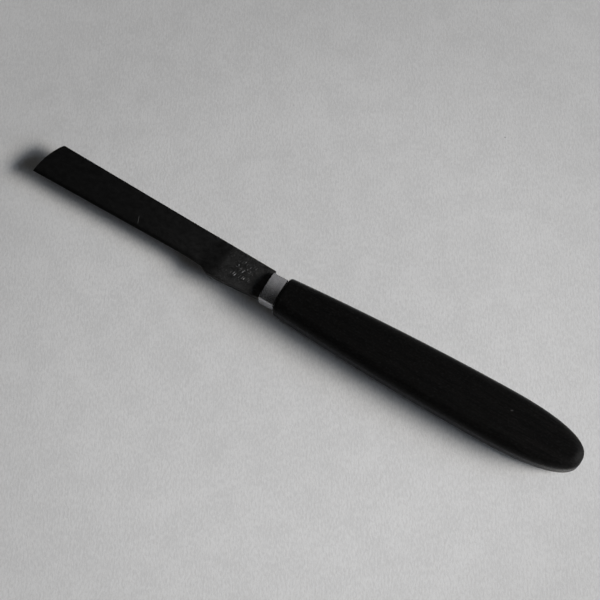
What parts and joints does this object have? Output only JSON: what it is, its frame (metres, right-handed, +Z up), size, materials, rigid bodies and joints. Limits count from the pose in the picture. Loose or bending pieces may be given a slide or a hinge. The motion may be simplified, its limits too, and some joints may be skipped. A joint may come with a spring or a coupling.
{
  "type": "grafting knife",
  "caption": "Fixed-blade grafting knife: straight carbon-steel blade with a slanted tip, metal collar and a smooth black one-piece wooden handle.",
  "frame": {"origin": "under the middle of the knife's bounding box, on the surface that the handle lies on", "axes": "+X towards the tip of the blade, +Y towards the cutting edge, +Z up out of the marked broad face"},
  "size_m": [0.19, 0.0174, 0.0092],
  "materials": {
    "blade": "dark patinated carbon steel, fine grinding lines",
    "collar": "dull satin, lightly tarnished",
    "handle": "black ebony, hand-worn, oiled",
    "tang_cement": "black resin cement"
  },
  "bodies": {
    "root": {"blade": "blade", "collar": "collar", "handle": "handle", "tang_cement": "tang_cement"}
  },
  "joints": []
}
